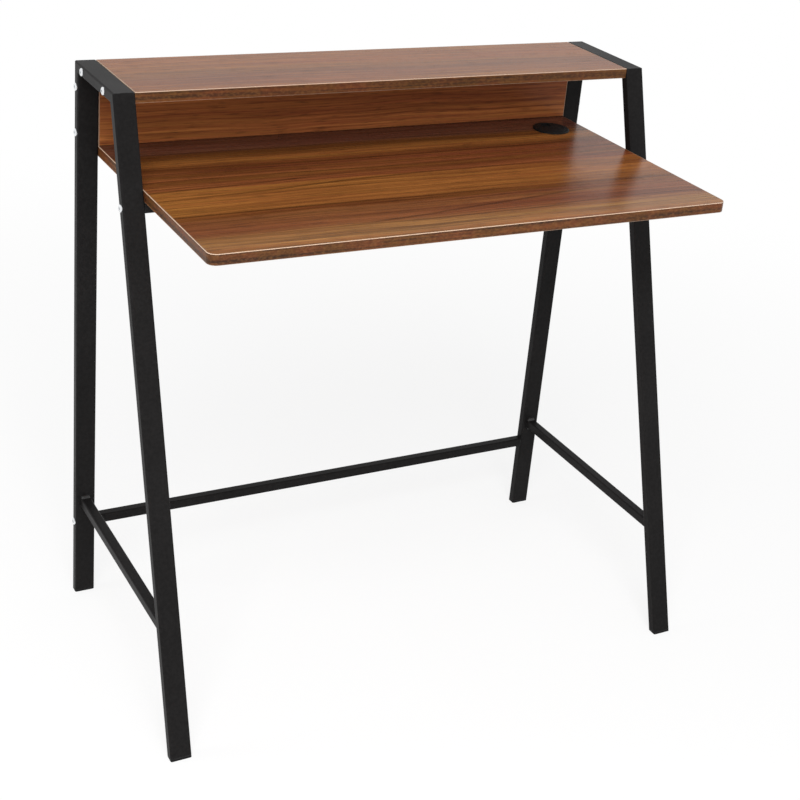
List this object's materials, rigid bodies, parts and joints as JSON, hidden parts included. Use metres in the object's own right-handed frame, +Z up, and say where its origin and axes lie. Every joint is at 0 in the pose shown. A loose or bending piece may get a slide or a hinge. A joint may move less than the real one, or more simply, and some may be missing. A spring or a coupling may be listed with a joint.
{
  "type": "computer desk",
  "caption": "Compact computer desk: A-shaped black tube side frames carry a wood-print desktop, a raised shelf with a back board, and a round cable grommet with a turning cap.",
  "frame": {"origin": "on the floor, at the middle of the footprint", "axes": "+X to the right as seen by the person sitting at it, +Y to the back, +Z up"},
  "size_m": [0.8444, 0.45, 0.85],
  "materials": {
    "frame_paint": "satin black powder coat",
    "plug_plastic": "matte black moulded plastic",
    "wood_laminate": "satin walnut-brown wood print, grain along the width",
    "edge_band": "wood-print edging with a pale line at its arrises",
    "bolt_zinc": "bright zinc plate",
    "nut_steel": "zinc plate",
    "screw_steel": "zinc plate",
    "grommet_plastic": "fine-grained black moulded plastic"
  },
  "bodies": {
    "desk": {"left_front_leg": "frame_paint", "left_rear_leg": "frame_paint", "left_top_bar": "frame_paint", "left_side_stretcher": "frame_paint", "left_weld_beads": "frame_paint", "right_front_leg": "frame_paint", "right_rear_leg": "frame_paint", "right_top_bar": "frame_paint", "right_side_stretcher": "frame_paint", "right_weld_beads": "frame_paint", "front_cross_rail": "frame_paint", "rear_cross_stretcher": "frame_paint", "left_front_foot_plug": "plug_plastic", "left_rear_foot_plug": "plug_plastic", "right_front_foot_plug": "plug_plastic", "right_rear_foot_plug": "plug_plastic", "desktop_board": "wood_laminate", "shelf_board": "wood_laminate", "back_board": "wood_laminate", "desktop_edge_band": "edge_band", "shelf_edge_band": "edge_band", "back_edge_band": "edge_band", "shelf_bolts": "bolt_zinc", "back_board_bolts": "bolt_zinc", "front_rail_bolts": "bolt_zinc", "rear_stretcher_bolts": "bolt_zinc", "shelf_barrel_nuts": "nut_steel", "back_board_barrel_nuts": "nut_steel", "front_rail_inserts": "nut_steel", "rear_stretcher_inserts": "nut_steel", "rail_screws": "screw_steel", "back_board_screws": "screw_steel", "grommet_liner": "grommet_plastic"},
    "grommet_cap": {"grommet_cap": "grommet_plastic"}
  },
  "joints": [
    {"name": "grommet_cap_turn", "type": "hinge", "parent": "desk", "child": "grommet_cap", "pos_m": [0.327, 0.15, 0.73], "axis": [0, 0, 1], "continuous": true}
  ]
}
